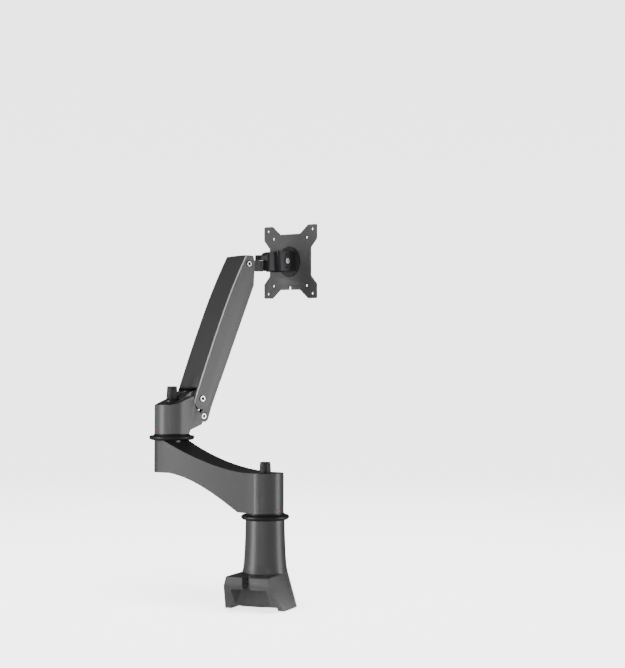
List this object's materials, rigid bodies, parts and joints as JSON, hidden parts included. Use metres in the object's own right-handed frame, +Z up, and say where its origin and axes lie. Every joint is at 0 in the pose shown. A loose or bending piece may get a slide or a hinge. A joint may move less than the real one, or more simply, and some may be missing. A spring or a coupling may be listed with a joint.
{
  "type": "monitor arm",
  "caption": "Gas-spring monitor arm: wedge-footed post, swivelling lower link, lift arm and tilting VESA plate; holds a screen off a mounted post.",
  "frame": {"origin": "centre of the foot's flat seat, on the post's axis", "axes": "+Z up along the post, -Y towards the foot's nose, +X across the foot to the right as seen from the nose"},
  "size_m": [0.25, 0.3654, 0.5524],
  "materials": {
    "graphite_coat": "matte",
    "charcoal_coat": "matte",
    "plate_coat": "matte",
    "black_plastic": "matte",
    "black_enamel": "satin",
    "zinc_steel": "satin",
    "dark_steel": "satin",
    "white_acetal": "satin",
    "red_mark": "satin"
  },
  "bodies": {
    "base": {"base_casting": "graphite_coat", "foot_screw": "zinc_steel", "post_set_screw": "dark_steel", "base_shaft": "dark_steel", "base_shaft_plug": "dark_steel", "base_collar": "black_plastic"},
    "lower_arm": {"lower_link": "graphite_coat", "lower_bush_low": "white_acetal", "lower_bush_high": "white_acetal", "lower_index_mark": "red_mark", "link_shaft": "dark_steel", "link_shaft_plug": "dark_steel", "link_collar": "black_plastic"},
    "lower_lock": {"lower_knob": "black_plastic", "lower_knob_stud": "dark_steel"},
    "pivot_housing": {"knuckle": "graphite_coat", "upper_bush_low": "white_acetal", "upper_bush_high": "white_acetal", "upper_index_mark": "red_mark", "tension_screw": "dark_steel", "lift_bolt_left": "zinc_steel", "lift_bolt_right": "zinc_steel", "lift_spacer_left": "white_acetal", "lift_spacer_right": "white_acetal", "bar_bolt_left": "zinc_steel", "bar_bolt_right": "zinc_steel"},
    "upper_lock": {"upper_knob": "black_plastic", "upper_knob_stud": "dark_steel"},
    "spring_arm": {"arm_shell": "graphite_coat", "head_bolt": "zinc_steel", "head_nut": "zinc_steel", "head_spacer_left": "white_acetal", "head_spacer_right": "white_acetal", "spring_pin_high": "dark_steel"},
    "level_bar": {"lower_bar": "graphite_coat", "bar_pin_high": "dark_steel"},
    "spring_cylinder": {"gas_cylinder": "black_enamel"},
    "spring_rod": {"gas_rod": "dark_steel", "gas_rod_eye": "dark_steel", "spring_pin_low": "dark_steel"},
    "head_carrier": {"head_bracket": "charcoal_coat", "swivel_bolt": "zinc_steel", "swivel_washer": "white_acetal"},
    "head_neck": {"head_link": "charcoal_coat", "tilt_bush": "white_acetal"},
    "tilt_head": {"tilt_block": "charcoal_coat", "tilt_pin": "zinc_steel", "tilt_washer_left": "white_acetal", "tilt_washer_right": "white_acetal", "vesa_screw": "zinc_steel"},
    "screen_plate": {"vesa_plate": "plate_coat", "rotation_disc": "charcoal_coat", "disc_rivet_1": "zinc_steel", "disc_rivet_2": "zinc_steel", "disc_rivet_3": "zinc_steel", "disc_rivet_4": "zinc_steel"}
  },
  "joints": [
    {"name": "lower_swivel", "type": "hinge", "parent": "base", "child": "lower_arm", "pos_m": [0, 0, 0.1165], "axis": [0, 0, 1], "range_deg": [-180, 180]},
    {"name": "lower_knob_turn", "type": "hinge", "parent": "lower_arm", "child": "lower_lock", "pos_m": [0, 0, 0.17], "axis": [0, 0, 1], "range_deg": [-180, 180]},
    {"name": "upper_swivel", "type": "hinge", "parent": "lower_arm", "child": "pivot_housing", "pos_m": [-0.1745, 0.06145, 0.2185], "axis": [0, 0, 1], "range_deg": [-180, 180]},
    {"name": "upper_knob_turn", "type": "hinge", "parent": "pivot_housing", "child": "upper_lock", "pos_m": [-0.1745, 0.06145, 0.27], "axis": [0, 0, 1], "range_deg": [-180, 180]},
    {"name": "lift", "type": "hinge", "parent": "pivot_housing", "child": "spring_arm", "pos_m": [-0.15966, 0.09589, 0.273], "axis": [0.9184, -0.3955, 0], "range_deg": [-96, 8]},
    {"name": "bar_pivot", "type": "hinge", "parent": "pivot_housing", "child": "level_bar", "pos_m": [-0.15689, 0.10232, 0.2475], "axis": [0.9184, -0.3955, 0], "range_deg": [-96, 8]},
    {"name": "spring_pivot", "type": "hinge", "parent": "spring_arm", "child": "spring_cylinder", "pos_m": [-0.13157, 0.16113, 0.43622], "axis": [0.9184, -0.3955, 0], "range_deg": [-0.3, 1.8]},
    {"name": "spring_stroke", "type": "slide", "parent": "spring_cylinder", "child": "spring_rod", "axis": [0.1422, 0.3302, 0.9331], "range_m": [-0.0016, 0.0182]},
    {"name": "head_level", "type": "hinge", "parent": "spring_arm", "child": "head_carrier", "pos_m": [-0.12395, 0.17882, 0.47581], "axis": [0.9184, -0.3955, 0], "range_deg": [-8, 96]},
    {"name": "head_swivel", "type": "hinge", "parent": "head_carrier", "child": "head_neck", "pos_m": [-0.10706, 0.21804, 0.47581], "axis": [0, 0, 1], "range_deg": [-90, 90]},
    {"name": "head_tilt", "type": "hinge", "parent": "head_neck", "child": "tilt_head", "pos_m": [-0.08946, 0.25891, 0.48701], "axis": [0.9184, -0.3955, 0], "range_deg": [-45, 45]},
    {"name": "screen_turn", "type": "hinge", "parent": "tilt_head", "child": "screen_plate", "pos_m": [-0.08135, 0.27772, 0.4879], "axis": [0.3952, 0.9176, 0.0436], "range_deg": [-90, 90]}
  ],
  "couplings": [
    {"joint": "bar_pivot", "follows": "lift", "ratio": 1},
    {"joint": "head_level", "follows": "lift", "ratio": -1},
    {"joint": "spring_pivot", "follows": "lift", "ratio": -0.016},
    {"joint": "spring_stroke", "follows": "lift", "m_per_rad": -0.0108}
  ]
}
